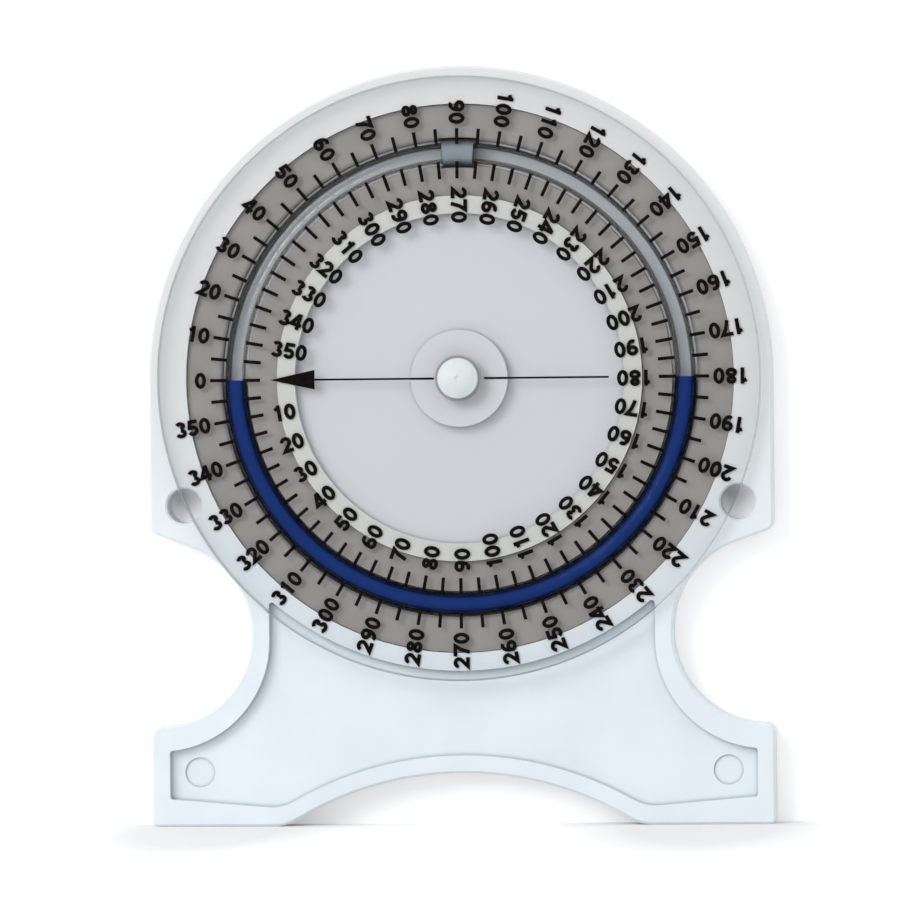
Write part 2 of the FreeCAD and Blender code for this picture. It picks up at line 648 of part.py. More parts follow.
def makeTube():
    body = newBody("fluid_tube", turn=90)
    walls = [("Sizes.tube_radius", "Sizes.tube_flats"), ("Sizes.bore_radius", "Sizes.bore_flats")]
    section = tubeSection(body, "TubeSection", walls)
    turned(body, "Revolution", "Tube", section, f"360 - Sizes.butt_gap / {TUBE_PITCH} * 180 / pi")


def makeSleeve():
    body = newBody("tube_joint_sleeve", turn=-90)
    walls = [(SLEEVE_RADIUS, "Sizes.tube_flats"), ("Sizes.tube_radius", "Sizes.tube_flats")]
    section = tubeSection(body, "SleeveSection", walls)
    turned(body, "Revolution", "Sleeve", section, SLEEVE_ANGLE)


def makeFluid():
    body = newBody("indicator_fluid", turn=90)
    loops = [("Sizes.bore_radius - Sizes.fluid_fit", "Sizes.bore_flats")]
    section = tubeSection(body, "FluidSection", loops)
    turned(body, "Revolution", "Fluid", section, "Sizes.fluid_sweep")


# --- dial and its printing -----------------------------------------------------------------


def makeDial():
    body = newBody("dial_disc")
    sketch = annulus(body, "DialOutline", "Sizes.shank_radius + Sizes.pivot_fit", DIAL_RADIUS, DIAL_BACK)
    feature(body, "Pad", "DialPlate", sketch, Length="Sizes.dial_thickness")
    rims = ringEdges(body, value(DIAL_RADIUS))
    dressEdges(body, "RimBevels", rims, "Sizes.dial_bevel", "Chamfer", "Size")


def printed(body, name, sketch):
    """Printing stands out of the dial's back by the depth of the ink."""
    return feature(body, "Pad", name, sketch, Length="Sizes.ink_depth", Reversed=True)


def makeScale(label, start, end):
    """Radial marks all round the dial, from one drawn on the right."""
    body = newBody(label)
    sketch = newSketch(body, "OneMark", depth=DIAL_BACK)
    bar(sketch, start, end, "Sizes.mark_width")
    mark = printed(body, "Mark", sketch)
    ring = body.newObject("PartDesign::PolarPattern", "MarksAllRound")
    ring.Originals = [mark]
    ring.Axis = (sketch, ["N_Axis"])
    ring.Angle = 360
    ring.setExpression("Occurrences", "Sizes.mark_count")
    body.Tip = ring
    doc.recompute()


def makeArrow():
    """Arrow head on the left, its shaft, and the reference line's other half on the right."""
    body = newBody("zero_arrow")
    hub = "Sizes.head_washer_radius + Sizes.line_clear"
    right = newSketch(body, "LineRight", depth=DIAL_BACK)
    bar(right, hub, f"{ARROW_TIP} - Sizes.line_short", "Sizes.line_width")
    printed(body, "LineRightInk", right)

    left = newSketch(body, "ArrowLeft", depth=DIAL_BACK)
    base = value(f"{ARROW_TIP} - Sizes.arrow_length")
    half, thin = value("Sizes.arrow_half"), value("Sizes.line_width") / 2
    near = value(hub)
    points = [
        at(-value(ARROW_TIP), 0), at(-base, -half), at(-base, -thin), at(-near, -thin),
        at(-near, thin), at(-base, thin), at(-base, half),
    ]
    first = polygon(left, points)
    level(left, first + 2, first + 4)
    upright(left, first + 1, first + 5)
    left.addConstraint(Sketcher.Constraint("PointOnObject", first, 1, -1))
    left.addConstraint(Sketcher.Constraint("Symmetric", first + 3, 1, first + 3, 2, -1))
    left.addConstraint(Sketcher.Constraint("Symmetric", first, 2, first + 6, 1, -1))
    bind(left, "DistanceX", (first, 1) + ORIGIN, ARROW_TIP)
    bind(left, "DistanceX", (first, 1, first, 2), "Sizes.arrow_length")
    bind(left, "DistanceY", (first, 2, first + 6, 1), "2 * Sizes.arrow_half")
    bind(left, "DistanceY", (first + 3, 1, first + 3, 2), "Sizes.line_width")
    bind(left, "DistanceX", (first + 3, 1) + ORIGIN, hub)
    printed(body, "ArrowLeftInk", left)


# --- pivot ---------------------------------------------------------------------------------


def makeRivet():
    """Shank turned with its head: the crown is an arc from the head's side to the dimple."""
    body = newBody("pivot_rivet")
    corners = [(0, 0), (1, 0), (2, 1), (2, 2), (3, 2), (3, 3), (0, 3)]
    radii = [None, "Sizes.shank_radius - Sizes.shank_lead", "Sizes.shank_radius", "Sizes.head_radius"]
    depths = [TAIL, f"{TAIL} + Sizes.shank_lead", HEAD_BACK, f"{HEAD_BACK} + Sizes.head_edge"]
    turned(body, "Revolution", "Shank", steppedProfile(body, "Shank", corners, radii, depths))
    crown = newSketch(body, "Crown", "XY_Plane")
    edge = value(f"{HEAD_BACK} + Sizes.head_edge")
    rise = value("Sizes.head_height - Sizes.head_edge")
    reach = value("Sizes.head_radius")
    bend = (reach**2 + rise**2) / (2 * rise)
    middle = at(0, -edge - rise + bend)
    rim, top = at(reach, -edge), at(0, -edge - rise)
    curve = crown.addGeometry(arc(middle, bend, top, rim))
    floor = crown.addGeometry(Part.LineSegment(rim, at(0, -edge)))
    axis = crown.addGeometry(Part.LineSegment(at(0, -edge), top))
    crown.addConstraint(Sketcher.Constraint("Coincident", curve, 2, floor, 1))
    crown.addConstraint(Sketcher.Constraint("Coincident", floor, 2, axis, 1))
    crown.addConstraint(Sketcher.Constraint("Coincident", axis, 2, curve, 1))
    crown.addConstraint(Sketcher.Constraint("PointOnObject", curve, 3, -2))
    crown.addConstraint(Sketcher.Constraint("PointOnObject", axis, 1, -2))
    upright(crown, axis)
    level(crown, floor)
    bind(crown, "DistanceY", (floor, 2) + ORIGIN, f"{HEAD_BACK} + Sizes.head_edge")
    bind(crown, "DistanceX", ORIGIN + (floor, 1), "Sizes.head_radius")
    bind(crown, "DistanceY", (curve, 1) + ORIGIN, FULL_DEPTH)
    turned(body, "Revolution", "CrownDome", crown)
    dimple = newSketch(body, "Dimple", depth=FULL_DEPTH)
    circle(dimple, "Sizes.dimple_radius")
    feature(body, "Pocket", "DimpleCut", dimple, Length="Sizes.dimple_depth")


def makeWasher(label, outer, back, thickness):
    body = newBody(label)
    sketch = annulus(body, "WasherOutline", "Sizes.shank_radius + Sizes.washer_fit", outer, back)
    feature(body, "Pad", "WasherPlate", sketch, Length=thickness)


def cylinder(name, radius, height):
    rod = doc.addObject("Part::Cylinder", name)
    rod.setExpression("Radius", radius)
    rod.setExpression("Height", height)
    return rod


def boolean(kind, name, base, tool):
    result = doc.addObject(f"Part::{kind}", name)
    result.Base, result.Tool = base, tool
    return result


def makeSpringWasher():
    """A flat ring stamped from strip and bowed: the common of a ring and a thin curved shell."""
    reach = "Sizes.spring_radius"
    bend = f"({reach} ^ 2 + Sizes.spring_bow ^ 2) / (2 * Sizes.spring_bow)"
    shellOuter = cylinder("SpringBendOuter", f"{bend} + Sizes.spring_thickness", f"2 * {reach}")
    shellInner = cylinder("SpringBendInner", bend, f"2 * {reach}")
    for rod in (shellOuter, shellInner):
        rod.setExpression("Placement.Base.z", f"-{reach}")
        rod.setExpression("Placement.Base.y", f"{bend} - {SPRING_BACK} - Sizes.spring_bow")
    shell = boolean("Cut", "SpringStrip", shellOuter, shellInner)
    rise = "(Sizes.spring_bow + Sizes.spring_thickness)"
    length = f"2 * {rise}"
    middle = f"{rise} / 2 - {SPRING_BACK}"
    blank = cylinder("SpringBlank", reach, length)
    hole = cylinder("SpringHole", "Sizes.shank_radius + Sizes.washer_fit", length)
    for rod in (blank, hole):
        rod.Placement.Rotation = FreeCAD.Rotation(FreeCAD.Vector(1, 0, 0), 90)
        rod.setExpression("Placement.Base.y", middle)
    ring = boolean("Cut", "SpringRing", blank, hole)
    spring = boolean("Common", "spring_washer", ring, shell)
    spring.Label = "spring_washer"
    placeOnAxis(spring)
    parts.append(spring)


def makePushNut():
    """A disc whose bore grips the shank with teeth cut apart by slots."""
    body = newBody("push_nut")
    sketch = annulus(body, "NutOutline", "Sizes.shank_radius", "Sizes.nut_radius", NUT_BACK)
    feature(body, "Pad", "NutPlate", sketch, Length="Sizes.nut_thickness")
    slot = newSketch(body, "Slot", depth=f"{NUT_BACK} + Sizes.nut_thickness")
    bar(slot, None, "Sizes.shank_radius + Sizes.nut_slot_reach", "Sizes.nut_slot_width")
    cut = feature(body, "Pocket", "SlotCut", slot, Length="Sizes.nut_thickness")
    star = body.newObject("PartDesign::PolarPattern", "SlotsAllRound")
    star.Originals = [cut]
    star.Axis = (slot, ["N_Axis"])
    star.Angle = 360
    star.setExpression("Occurrences", "Sizes.nut_slots")
    body.Tip = star
    doc.recompute()


makeBasePlate()
makeBackingRing()
makeTube()
makeSleeve()
makeFluid()
makeDial()
makeScale("outer_degree_marks", OUTER_MARK_START, f"{OUTER_MARK_START} + Sizes.outer_mark_length")
makeScale("inner_degree_marks", f"{INNER_MARK_END} - Sizes.inner_mark_length", INNER_MARK_END)
makeArrow()
makeRivet()
makeWasher("head_washer", "Sizes.head_washer_radius", HEAD_WASHER_BACK, "Sizes.head_washer_thickness")
makeWasher("rear_washer", "Sizes.rear_washer_radius", REAR_WASHER_BACK, "Sizes.rear_washer_thickness")
makeSpringWasher()
makePushNut()

doc.recompute()
for thing in doc.Objects:
    if "Invalid" in thing.State or "Error" in thing.State:
        raise RuntimeError(f"{thing.Name} failed: {thing.State}")

os.makedirs("parts", exist_ok=True)
for part in parts:
    if part.Shape.isNull() or not part.Shape.isValid():
        raise RuntimeError(f"{part.Label} has no sound shape")
    part.Shape.exportStep(f"parts/{part.Label}.step")
    print(part.Label, len(part.Shape.Solids), round(part.Shape.Volume, 3))
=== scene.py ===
import json
import math

import bmesh
import bpy
import numpy as np
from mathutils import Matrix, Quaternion, Vector


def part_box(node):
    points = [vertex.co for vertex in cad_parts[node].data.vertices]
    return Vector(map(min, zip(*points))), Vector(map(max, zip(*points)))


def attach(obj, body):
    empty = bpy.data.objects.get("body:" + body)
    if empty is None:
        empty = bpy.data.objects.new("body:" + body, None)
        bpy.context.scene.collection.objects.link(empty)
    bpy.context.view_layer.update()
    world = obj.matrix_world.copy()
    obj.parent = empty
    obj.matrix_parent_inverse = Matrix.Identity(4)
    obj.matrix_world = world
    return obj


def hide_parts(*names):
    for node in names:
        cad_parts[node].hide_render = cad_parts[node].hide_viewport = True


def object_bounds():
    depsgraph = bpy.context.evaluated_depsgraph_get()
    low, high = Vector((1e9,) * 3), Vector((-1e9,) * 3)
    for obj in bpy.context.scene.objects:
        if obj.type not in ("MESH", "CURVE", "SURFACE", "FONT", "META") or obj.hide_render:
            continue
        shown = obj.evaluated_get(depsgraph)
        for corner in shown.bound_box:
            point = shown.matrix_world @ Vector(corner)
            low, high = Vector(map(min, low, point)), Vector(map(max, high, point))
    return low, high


# Bubble inclinometer: a white moulded stand, a ring of clear tube half full of blue fluid,
# and a clear dial with two printed scales that turns on a white rivet.

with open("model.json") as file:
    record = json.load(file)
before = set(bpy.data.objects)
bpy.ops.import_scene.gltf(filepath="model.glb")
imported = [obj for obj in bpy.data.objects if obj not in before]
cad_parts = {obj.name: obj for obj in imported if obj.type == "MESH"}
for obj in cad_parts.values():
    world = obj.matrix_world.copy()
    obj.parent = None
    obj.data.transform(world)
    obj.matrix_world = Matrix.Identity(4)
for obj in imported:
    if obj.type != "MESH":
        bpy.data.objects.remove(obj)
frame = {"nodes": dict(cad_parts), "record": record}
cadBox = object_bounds()
print("frame loaded,", len(frame["nodes"]), "nodes")

mm = 0.001

dialLow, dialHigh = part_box("dial_disc")
axisHeight = (dialLow.z + dialHigh.z) / 2  # the dial turns about this height, at x = 0
tubeLow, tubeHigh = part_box("fluid_tube")
tubeDepth = (tubeLow.y + tubeHigh.y) / 2
tubePitch = tubeHigh.x - tubeDepth + tubeLow.y  # radius of the tube's centre line
cardDepth = cadBox[1].y - 0.05 * mm  # just in front of the stand's back, which so keeps its own light


def linear(hexColour):
    # sRGB to linear light: c / 12.92 near black, otherwise ((c + 0.055) / 1.055) to the power 2.4
    c = np.array([int(hexColour[i:i + 2], 16) for i in (1, 3, 5)]) / 255
    light = np.where(c <= 0.04045, c / 12.92, ((c + 0.055) / 1.055) ** 2.4)
    return (*(float(v) for v in light), 1.0)


def addNode(tree, kind, inputs=(), **settings):
    # One node. Settings are its own properties. Inputs come in order, or by name or number: each is
    # a number, a colour, a socket or a node, and a node stands for its first output in use
    node = tree.nodes.new(kind)
    for key, setting in settings.items():
        setattr(node, key, setting)
    for key, given in inputs.items() if isinstance(inputs, dict) else enumerate(inputs):
        if isinstance(given, bpy.types.Node):
            given = next(socket for socket in given.outputs if socket.enabled)
        if isinstance(given, bpy.types.NodeSocket):
            tree.links.new(given, node.inputs[key])
        else:
            node.inputs[key].default_value = given
    return node


def emptyMaterial(name):
    material = bpy.data.materials.new(name)
    material.use_nodes = True
    material.node_tree.nodes.clear()
    return material, material.node_tree


def grain(tree, size, detail=3.0, stretch=(1.0, 1.0, 1.0)):
    # Noise over Object coordinates, with cells of about this size
    place = addNode(tree, "ShaderNodeTexCoord")
    mapped = addNode(tree, "ShaderNodeMapping", {"Vector": place.outputs["Object"], "Scale": stretch})
    return addNode(tree, "ShaderNodeTexNoise", {"Vector": mapped, "Scale": 1 / size, "Detail": detail})


def fromCircle(tree, radius):
    # How far a point lies in front view from a circle about the dial axis: |distance to axis - radius|
    place = addNode(tree, "ShaderNodeTexCoord")
    centred = addNode(tree, "ShaderNodeMapping", {"Vector": place.outputs["Object"],
                                                  "Location": (0, 0, -axisHeight), "Scale": (1, 0, 1)})
    fromAxis = addNode(tree, "ShaderNodeVectorMath", [centred], operation="LENGTH")
    offset = addNode(tree, "ShaderNodeMath", [fromAxis, radius], operation="SUBTRACT")
    return addNode(tree, "ShaderNodeMath", [offset], operation="ABSOLUTE")


moulding = {
    "cloudEdges": (0.35, 0.65),  # the noise goes from one colour to the other between these
    "fineDetail": 2.0,
    "bumpStrength": 0.5,
}


def moulded(name, look):
    # Injection moulding: a faint cloud in the colour, and a fine grain in gloss and relief
    material, tree = emptyMaterial(name)
    cloud = addNode(tree, "ShaderNodeMapRange", [grain(tree, look["mottle"]), *moulding["cloudEdges"]])
    first, second = map(linear, look["cloud"])
    colour = addNode(tree, "ShaderNodeMix", {0: cloud, 6: first, 7: second}, data_type="RGBA")
    fine = grain(tree, look["pits"], moulding["fineDetail"])
    shader = addNode(tree, "ShaderNodeBsdfPrincipled", {
        "Base Color": colour, "IOR": look["index"],
        "Roughness": addNode(tree, "ShaderNodeMapRange", [fine, 0, 1, *look["roughness"]]),
        "Normal": addNode(tree, "ShaderNodeBump", {
            "Height": fine, "Strength": moulding["bumpStrength"], "Distance": look["relief"]}),
    })
    addNode(tree, "ShaderNodeOutputMaterial", [shader])
    return material, tree, shader, colour


def clear(name, look):
    # A clear plastic. Lamp light and light scattered by what lies behind it pass straight through,
    # so that it is lit once, and only what is seen through the plastic is bent
    material, tree = emptyMaterial(name)
    smear = grain(tree, look["smear"])
    surface = addNode(tree, "ShaderNodeBsdfPrincipled", {
        "Base Color": linear(look["tint"]), "IOR": look["index"], "Transmission Weight": 1.0,
        "Roughness": addNode(tree, "ShaderNodeMapRange", [smear, 0, 1, *look["roughness"]]),
    })
    passed = addNode(tree, "ShaderNodeBsdfTransparent", [linear(look["dimming"])])
    path = addNode(tree, "ShaderNodeLightPath")
    for ray in ("Is Shadow Ray", "Is Diffuse Ray"):
        surface = addNode(tree, "ShaderNodeMixShader", [path.outputs[ray], surface, passed])
    addNode(tree, "ShaderNodeOutputMaterial", [surface])
    return material


meshing = {
    "weld": 0.0005 * mm,
    "sharpFrom": 35,  # degrees: edges that turn by more stay sharp
    "cornerSteps": 6,
}


def solid(name, points, faces):
    # Points and faces as a closed mesh: points that fall together merge, faces turn outwards
    mesh = bpy.data.meshes.new(name)
    mesh.from_pydata(points.tolist(), [], faces)
    work = bmesh.new()
    work.from_mesh(mesh)
    bmesh.ops.remove_doubles(work, verts=work.verts, dist=meshing["weld"])
    bmesh.ops.recalc_face_normals(work, faces=work.faces)
    work.to_mesh(mesh)
    work.free()
    mesh.shade_smooth()
    mesh.set_sharp_from_angle(angle=math.radians(meshing["sharpFrom"]))
    thing = bpy.data.objects.new(name, mesh)
    bpy.context.scene.collection.objects.link(thing)
    return thing


def gridSurface(name, grid, closed=False):
    # Quads between neighbours of a grid of points; it closes round, and along too if asked
    along, around = grid.shape[:2]
    i = np.arange(along if closed else along - 1)[:, None]
    j = np.arange(around)[None, :]
    nextI, nextJ = (i + 1) % along, (j + 1) % around
    quads = [i * around + j, i * around + nextJ, nextI * around + nextJ, nextI * around + j]
    faces = np.stack(quads, axis=-1).reshape(-1, 4)
    return solid(name, grid.reshape(-1, 3), faces.tolist())


def turned(name, profile, steps, closed=False):
    # A profile of radius and depth goes round the dial axis: x = r cos a, z = height + r sin a
    angle = np.linspace(0, 2 * math.pi, steps, endpoint=False)[None, :]
    radius, depth = profile[:, 0, None], profile[:, 1, None] + 0 * angle
    grid = np.stack([radius * np.cos(angle), depth, axisHeight + radius * np.sin(angle)], axis=-1)
    return gridSurface(name, grid, closed)


def ringTube(name, stations, closed=False):
    # Circles threaded on the tube's centre line: each station has a section radius s and its place a
    # round the ring, which may change over the section. Section angle b: r = pitch + s cos b,
    # y = middle + s sin b, x = r cos a, z = height + r sin a
    section, place = stations
    b = np.linspace(0, 2 * math.pi, tube["stepsSection"], endpoint=False)[None, :]
    r = tubePitch + section[:, None] * np.cos(b)
    y = tubeDepth + section[:, None] * np.sin(b)
    a = place[:, None] + 0 * b
    grid = np.stack([r * np.cos(a), y, axisHeight + r * np.sin(a)], axis=-1)
    return gridSurface(name, grid, closed)


def wallBetween(outside, inside, start, end, steps):
    # Stations of a length of pipe: out along the outside, back along the bore
    places = np.linspace(start, end, steps)
    section = np.concatenate([np.full(steps, outside), np.full(steps, inside)])
    return section, np.concatenate([places, places[::-1]])


def roundedOutline(corners, rounds, steps):
    # A closed outline whose corners give way to arcs that touch both sides. With h half the angle
    # at a corner, the arc starts round / tan h from it and its centre is round / sin h away
    outline = []
    for i, (corner, size) in enumerate(zip(corners, rounds)):
        here = np.array(corner, float)
        toPrevious = np.array(corners[i - 1], float) - here
        toNext = np.array(corners[(i + 1) % len(corners)], float) - here
        a, b = toPrevious / np.linalg.norm(toPrevious), toNext / np.linalg.norm(toNext)
        half = math.acos(float(a @ b)) / 2
        centre = here + (a + b) / np.linalg.norm(a + b) * size / math.sin(half)
        touch = size / math.tan(half)
        start, end = here + a * touch - centre, here + b * touch - centre
        share = np.linspace(0, 1, steps)[:, None]
        swing = math.pi - 2 * half
        arc = (np.sin((1 - share) * swing) * start + np.sin(share * swing) * end) / math.sin(swing)
        outline.append(centre + arc)
    return np.concatenate(outline)


stand = {
    "cloud": ("#dfe9ee", "#e5eef3"),
    "mottle": 14 * mm,
    "pits": 0.5 * mm,  # real mould texture is about 0.05 mm, drawn coarser so that it shows
    "relief": 0.02 * mm,
    "roughness": (0.36, 0.5),
    "index": 1.59,
    "upperShade": "#e2e4e4",  # painted shade: the upper part is painted greyer and less blue, for the dimmer light up there
    "upperShadeRise": (40 * mm, 75 * mm),  # the height where that begins and is complete
    "wellShade": "#dadbe0",  # painted shade: the centre well's floor is painted darker, for the shade in the recess under the dial
    "wellRadius": 26.9 * mm,
    "lipShade": "#d2d5d0",  # the raised lip between the well and the ring, painted a darker grey
    "lipRadius": 30.2 * mm,
    "frontDepth": 2.5 * mm,  # these two tones stay in front of this depth
    "toneFade": 0.1 * mm,  # and end over this width
    "cornerShade": "#b3babe",  # painted shade: darker in the inner corners, found by ambient occlusion
    "cornerShadeReach": 0.7 * mm,
    "cornerShadeMost": 0.8,
    "cornerShadeOpenness": (0.5, 0.95),  # most in corners as open as the first, none from the second
    "cornerShadeSamples": 8,
}


def mouldedPolystyrene():
    # High-impact polystyrene from a satin mould: cool white with soft gloss. Painted shade makes the upper
    # part greyer, the well floor darker and the inner corners darker; the lip is painted a darker grey
    material, tree, shader, colour = moulded("satin_moulded_polystyrene", stand)
    place = addNode(tree, "ShaderNodeTexCoord")
    parts = addNode(tree, "ShaderNodeSeparateXYZ", [place.outputs["Object"]])
    # Painted shade: the upper part turns greyer with height
    upperShaded = addNode(tree, "ShaderNodeMapRange", [parts.outputs["Z"], *stand["upperShadeRise"]])
    layers = [(upperShaded, stand["upperShade"])]
    depth, fade = stand["frontDepth"], stand["toneFade"]
    front = addNode(tree, "ShaderNodeMapRange", [parts.outputs["Y"], depth, depth + fade, 1, 0])
    fromAxis = fromCircle(tree, 0)
    # The well floor gets painted shade; the lip is painted a darker grey
    for area in ("lip", "well"):
        reach, shade = stand[area + "Radius"], stand[area + "Shade"]
        near = addNode(tree, "ShaderNodeMapRange", [fromAxis, reach, reach + fade, 1, 0])
        layers.append((addNode(tree, "ShaderNodeMath", [front, near], operation="MULTIPLY"), shade))
    # Painted shade in the inner corners, where ambient occlusion finds them closed in
    openness = addNode(tree, "ShaderNodeAmbientOcclusion", {"Distance": stand["cornerShadeReach"]},
                       samples=stand["cornerShadeSamples"], only_local=True)
    corner = addNode(tree, "ShaderNodeMapRange", [openness.outputs["AO"], *stand["cornerShadeOpenness"],
                                                  stand["cornerShadeMost"], 0])
    layers.append((corner, stand["cornerShade"]))
    for factor, tone in layers:
        colour = addNode(tree, "ShaderNodeMix", {0: factor, 6: colour, 7: linear(tone)}, data_type="RGBA")
    tree.links.new(colour.outputs[2], shader.inputs["Base Color"])
    return material


ring = {
    "cloud": ("#9b9995", "#a3a09c"),
    "mottle": 9 * mm,
    "pits": 0.45 * mm,
    "relief": 0.02 * mm,
    "roughness": (0.5, 0.65),
    "index": 1.55,
    "channel": "#e6ecf2",  # the middle of the channel is bright with the light the tube gathers
    "channelHalf": 1.4 * mm,
    "brim": "#5c5f62",  # darker along the channel's outer brim, in the tube's shade
    "brimOut": 1.9 * mm,  # from the tube's centre line
    "brimReach": (0.2 * mm, 0.85 * mm),
    "brimMost": 0.8,
}


def mouldedGrey():
    # Grey styrene with a warm cast, matt so that the tube stands out, paler in the tube's channel
    material, tree, shader, colour = moulded("matt_moulded_grey", ring)
    channel = addNode(tree, "ShaderNodeMath", [fromCircle(tree, tubePitch), ring["channelHalf"]],
                      operation="LESS_THAN")
    brim = addNode(tree, "ShaderNodeMapRange", [fromCircle(tree, tubePitch + ring["brimOut"]),
                                                *ring["brimReach"], ring["brimMost"], 0])
    for factor, tone in ((channel, ring["channel"]), (brim, ring["brim"])):
        colour = addNode(tree, "ShaderNodeMix", {0: factor, 6: colour, 7: linear(tone)}, data_type="RGBA")
    tree.links.new(colour.outputs[2], shader.inputs["Base Color"])
    return material


dial = {
    "rimRound": 0.3 * mm,
    "boreRound": 0.12 * mm,
    "boreRadius": 1.65 * mm,
    "inkGap": 0.01 * mm,  # the clear back lies this far in front of the printing
    "steps": 320,
    "tint": "#fcfcfc",
    "smear": 18 * mm,
    "roughness": (0.0, 0.03),
    "index": 1.49,
}

dialRim = {
    "tint": "#ccd0d0",
    "dimming": "#ccd0d0",
    "smear": 1 * mm,
    "roughness": (0.4, 0.6),
    "index": 1.49,
}


def polishedAcrylic():
    # Cast acrylic sheet with polished faces, too thin to bend what lies behind it: it lets light
    # through with hardly a tint, and shines by Fresnel's share where it is met from outside
    material, tree = emptyMaterial("polished_clear_acrylic")
    geometry = addNode(tree, "ShaderNodeNewGeometry")
    outside = addNode(tree, "ShaderNodeMath", [1.0, geometry.outputs["Backfacing"]], operation="SUBTRACT")
    fresnel = addNode(tree, "ShaderNodeFresnel", {"IOR": dial["index"]})
    share = addNode(tree, "ShaderNodeMath", [fresnel, outside], operation="MULTIPLY")
    passed = addNode(tree, "ShaderNodeBsdfTransparent", [linear(dial["tint"])])
    smear = addNode(tree, "ShaderNodeMapRange", [grain(tree, dial["smear"]), 0, 1, *dial["roughness"]])
    shine = addNode(tree, "ShaderNodeBsdfGlossy", {"Color": (1, 1, 1, 1), "Roughness": smear})
    surface = addNode(tree, "ShaderNodeMixShader", [share, passed, shine])
    addNode(tree, "ShaderNodeOutputMaterial", [surface])
    return material


def makeDial():
    reach, bore = dialHigh.x, dial["boreRadius"]
    front, back = dialLow.y, dialHigh.y - dial["inkGap"]
    corners = [(bore, front), (reach, front), (reach, back), (bore, back)]
    rounds = [dial["boreRound"], dial["rimRound"], dial["rimRound"], dial["boreRound"]]
    outline = roundedOutline(corners, rounds, meshing["cornerSteps"])
    piece = turned("clear_dial", outline, dial["steps"], closed=True)
    piece.data.materials.append(polishedAcrylic())
    # The rim as the lathe left it: frosted, so it shows as a soft grey line
    piece.data.materials.append(clear("turned_frosted_acrylic", dialRim))
    centres = np.empty(len(piece.data.polygons) * 3)
    piece.data.polygons.foreach_get("center", centres)
    centres = centres.reshape(-1, 3)
    onRim = np.hypot(centres[:, 0], centres[:, 2] - axisHeight) > reach - dial["rimRound"]
    piece.data.polygons.foreach_set("material_index", onRim.astype(np.int32))
    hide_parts("dial_disc")
    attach(piece, "dial")


printing = {
    "height": 2.65 * mm,  # a digit
    "innerShift": (0.25 * mm, -0.2 * mm),  # the inner numbers sit this far right and up of true
    "pitch": 2.0 * mm,  # one digit to the next
    "width": 0.7,  # a digit, as a share of its height
    "stroke": 0.23,  # its strokes, likewise
    "outerRadius": 41.3 * mm,  # inner end of the outer scale's numbers
    "innerRadius": 31.4 * mm,  # outer end of the inner scale's numbers
    "every": 10,  # degrees
    "cloud": ("#120d0b", "#1a1411"),
    "mottle": 2 * mm,
    "pits": 0.3 * mm,
    "relief": 0.004 * mm,
    "roughness": (0.45, 0.6),
    "index": 1.5,
    "specular": 0.1,  # the acrylic in front takes its gloss
}


def screenInk():
    # Screen-printed ink on the back of the acrylic: warm near-black, flat, very slightly uneven
    material, _, shader, _ = moulded("screen_printed_ink", printing)
    shader.inputs["Specular IOR Level"].default_value = printing["specular"]
    return material


def bow(x, y, across, up, start, end, steps=13):
    # Part of an ellipse: x + across cos a, y + up sin a, with a from start to end in degrees
    a = np.radians(np.linspace(start, end, steps))
    return np.column_stack([x + across * np.cos(a), y + up * np.sin(a)])


def digitStrokes():
    # The middle lines of each digit's strokes, in a cell one high that starts at the lower left
    w, h = printing["width"], printing["stroke"] / 2
    c, reach = w / 2, w / 2 - h
    low, high = 0.3, 0.745  # middles of the lower and upper bowl
    lowUp, highUp = low - h, 1 - high - h
    six = [bow(c, low + 0.02, reach, lowUp + 0.02, 0, 360, 19),
           bow(c + 0.06, 0.42, reach + 0.06, 0.58 - h, 180, 62, 9)]
    return {
        "0": [bow(c, 0.5, reach, 0.5 - h, 0, 360, 21)],
        "1": [np.array([[c + 0.08, 0.0], [c + 0.08, 1.0]]),
              np.array([[c + 0.08, 0.83], [c - 0.17, 0.72]])],
        "2": [np.concatenate([bow(c, 1 - h - 0.22, reach, 0.22, 175, -38, 11), [[h + 0.03, h], [w, h]]])],
        "3": [bow(c - 0.01, high, reach - 0.03, highUp, 160, -90, 12),
              bow(c - 0.01, low - 0.01, reach, lowUp - 0.01, 90, -165, 13)],
        "4": [np.array([[0.49, 0.0], [0.49, 1.0]]),
              np.array([[0.45, 0.95], [0.06, 0.3], [w, 0.3]])],
        "5": [np.concatenate([[[w - 0.03, 1 - h], [0.2, 1 - h], [0.14, 0.52]],
                              bow(c - 0.01, 0.33, reach, 0.33 - h, 122, -160, 13)])],
        "6": six,
        "7": [np.array([[0.0, 1 - h], [w - 0.06, 1 - h], [0.42, 0.55], [0.26, 0.0]])],
        "8": [bow(c, high, reach - 0.04, highUp, 0, 360, 17),
              bow(c, low - 0.01, reach, lowUp - 0.01, 0, 360, 19)],
        "9": [np.array([w, 1.0]) - stroke for stroke in six],
    }


def inked(middle):
    # A stroke as a flat bar: each point of its middle line gives two edge points half a stroke to
    # either side, along the normal and longer at a bend by 1 / cos of half the turn
    half = printing["stroke"] / 2
    looped = np.allclose(middle[0], middle[-1])
    if looped:
        middle = middle[:-1]
        before, after = np.roll(middle, 1, 0), np.roll(middle, -1, 0)
    else:
        before = np.concatenate([2 * middle[:1] - middle[1:2], middle[:-1]])
        after = np.concatenate([middle[1:], 2 * middle[-1:] - middle[-2:-1]])
    into, out = middle - before, after - middle
    into /= np.linalg.norm(into, axis=1)[:, None]
    out /= np.linalg.norm(out, axis=1)[:, None]
    along = into + out
    along /= np.linalg.norm(along, axis=1)[:, None]
    side = np.column_stack([-along[:, 1], along[:, 0]]) * half / (along * into).sum(1)[:, None]
    left, right = middle + side, middle - side
    section = [(left, -0.5), (right, -0.5), (right, 0.5), (left, 0.5)]
    grid = np.stack([np.column_stack([edge, np.full(len(edge), depth)]) for edge, depth in section], axis=1)
    if not looped:
        ends = [np.repeat(row.mean(0)[None, None, :], 4, axis=1) for row in (grid[0], grid[-1])]
        grid = np.concatenate([ends[0], grid, ends[1]])
    return gridSurface("digit", grid, looped)


